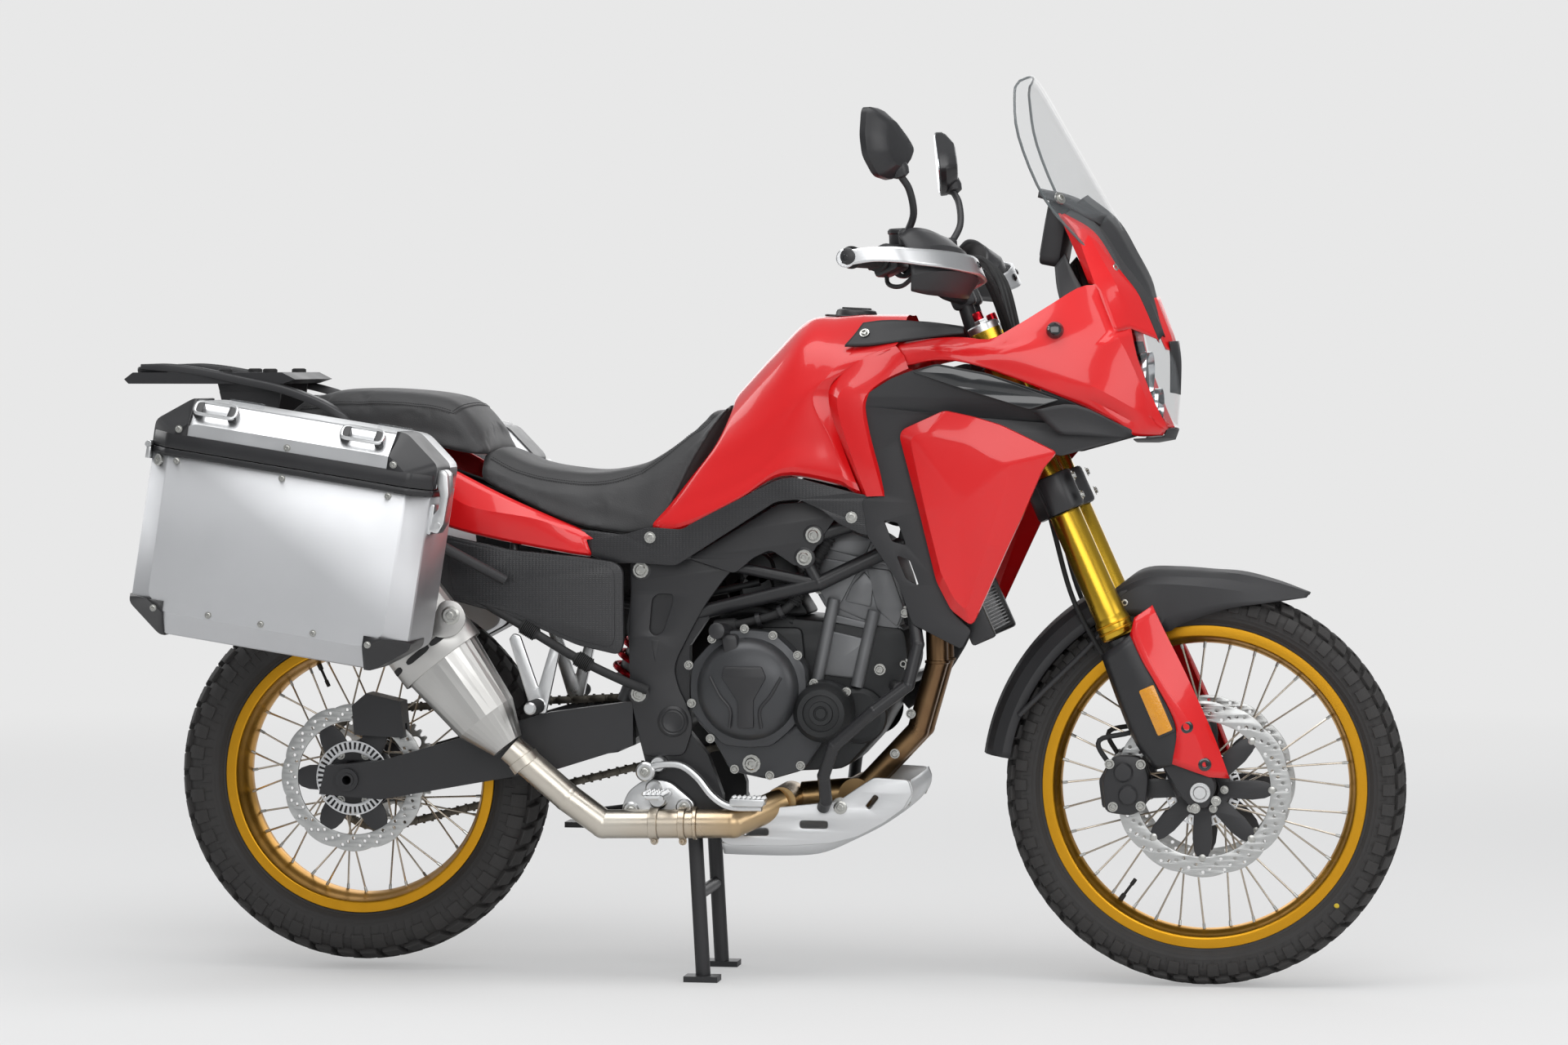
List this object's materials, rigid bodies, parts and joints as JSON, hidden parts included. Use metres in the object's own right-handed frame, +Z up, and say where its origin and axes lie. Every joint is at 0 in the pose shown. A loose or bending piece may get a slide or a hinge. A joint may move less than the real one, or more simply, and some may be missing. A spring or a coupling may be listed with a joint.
{
  "type": "adventure motorcycle",
  "caption": "Tall spoked-wheel touring motorcycle on its centre stand, with a half fairing, two seats, a luggage rack and hollow side cases whose lids open.",
  "frame": {"origin": "on the floor under the middle of the bounding box", "axes": "+X forward, +Y to the rider's left, +Z up"},
  "size_m": [2.2542, 0.932, 1.578],
  "materials": {
    "black_frame": "satin",
    "engine_metal": "satin",
    "engine_cover": "satin",
    "radiator_black": "matte",
    "tinted_steel": "satin",
    "brushed_muffler": "brushed",
    "red_paint": "gloss",
    "black_plastic": "satin",
    "red_panel": "gloss",
    "headlight_lens": "gloss",
    "clear_screen": "gloss",
    "seat_vinyl": "textured",
    "black_rack": "satin",
    "pannier_aluminium": "brushed",
    "red_lens": "gloss",
    "shock_steel": "gloss",
    "chain_steel": "oiled",
    "caliper_black": "satin",
    "tyre_rubber": "matte",
    "gold_rim": "anodised",
    "spoke_steel": "polished",
    "disc_steel": "brushed",
    "gold_fork": "anodised",
    "fork_foot": "satin",
    "clamp_black": "satin",
    "bar_black": "satin",
    "guard_black": "satin",
    "skid_aluminium": "brushed",
    "control_aluminium": "satin"
  },
  "bodies": {
    "chassis": {"frame": "black_frame", "subframe": "black_frame", "engine_case": "engine_metal", "engine_covers": "engine_cover", "radiator": "radiator_black", "exhaust_pipes": "tinted_steel", "muffler": "brushed_muffler", "fuel_tank": "red_paint", "side_trims": "black_plastic", "side_shrouds": "red_panel", "headlight_cowl": "red_panel", "headlight": "headlight_lens", "windscreen": "clear_screen", "dash": "black_plastic", "rider_seat": "seat_vinyl", "pillion_seat": "seat_vinyl", "tail_panels": "red_panel", "luggage_rack": "black_rack", "pannier_rails": "black_frame", "right_pannier": "pannier_aluminium", "left_pannier": "pannier_aluminium", "rear_mudguard": "black_plastic", "tail_light": "red_lens", "swingarm": "black_frame", "shock_absorber": "shock_steel", "chain": "chain_steel", "rear_caliper": "caliper_black", "skid_plate": "skid_aluminium", "crash_bars": "black_frame", "foot_controls": "control_aluminium"},
    "steering": {"triple_clamps": "clamp_black", "fork_tubes": "gold_fork", "fork_legs": "fork_foot", "handlebar": "bar_black", "handguards": "guard_black", "mirrors": "black_plastic", "front_calipers": "caliper_black", "fork_guards": "red_panel", "front_fender": "black_plastic"},
    "front_wheel_set": {"front_tyre": "tyre_rubber", "front_wheel": "gold_rim", "front_spokes": "spoke_steel", "front_discs": "disc_steel"},
    "rear_wheel_set": {"rear_tyre": "tyre_rubber", "rear_wheel": "gold_rim", "rear_spokes": "spoke_steel", "rear_disc": "disc_steel", "rear_sprocket": "disc_steel"},
    "right_lid": {"right_pannier_lid": "pannier_aluminium"},
    "left_lid": {"left_pannier_lid": "pannier_aluminium"},
    "centre_stand": {"centre_stand": "black_frame"},
    "side_stand": {"side_stand": "black_frame"}
  },
  "joints": [
    {"name": "steering_turn", "type": "hinge", "parent": "chassis", "child": "steering", "pos_m": [0.50691, 0, 0.845], "axis": [-0.4067, 0, 0.9135], "range_deg": [-36, 36]},
    {"name": "front_wheel_spin", "type": "hinge", "parent": "steering", "child": "front_wheel_set", "pos_m": [0.78009, 0, 0.347], "axis": [0, 1, 0], "continuous": true},
    {"name": "rear_wheel_spin", "type": "hinge", "parent": "chassis", "child": "rear_wheel_set", "pos_m": [-0.71809, 0, 0.347], "axis": [0, 1, 0], "continuous": true},
    {"name": "right_lid_hinge", "type": "hinge", "parent": "chassis", "child": "right_lid", "pos_m": [-0.98399, -0.366, 0.94401], "axis": [0, -1, 0], "range_deg": [0, 75]},
    {"name": "left_lid_hinge", "type": "hinge", "parent": "chassis", "child": "left_lid", "pos_m": [-0.98399, 0.366, 0.94401], "axis": [0, -1, 0], "range_deg": [0, 75]},
    {"name": "centre_stand_fold", "type": "hinge", "parent": "chassis", "child": "centre_stand", "pos_m": [-0.10609, 0, 0.292], "axis": [0, 1, 0], "range_deg": [0, 84]},
    {"name": "side_stand_swing", "type": "hinge", "parent": "chassis", "child": "side_stand", "pos_m": [-0.06809, 0.15, 0.3], "axis": [0, -1, 0], "range_deg": [0, 100]}
  ]
}
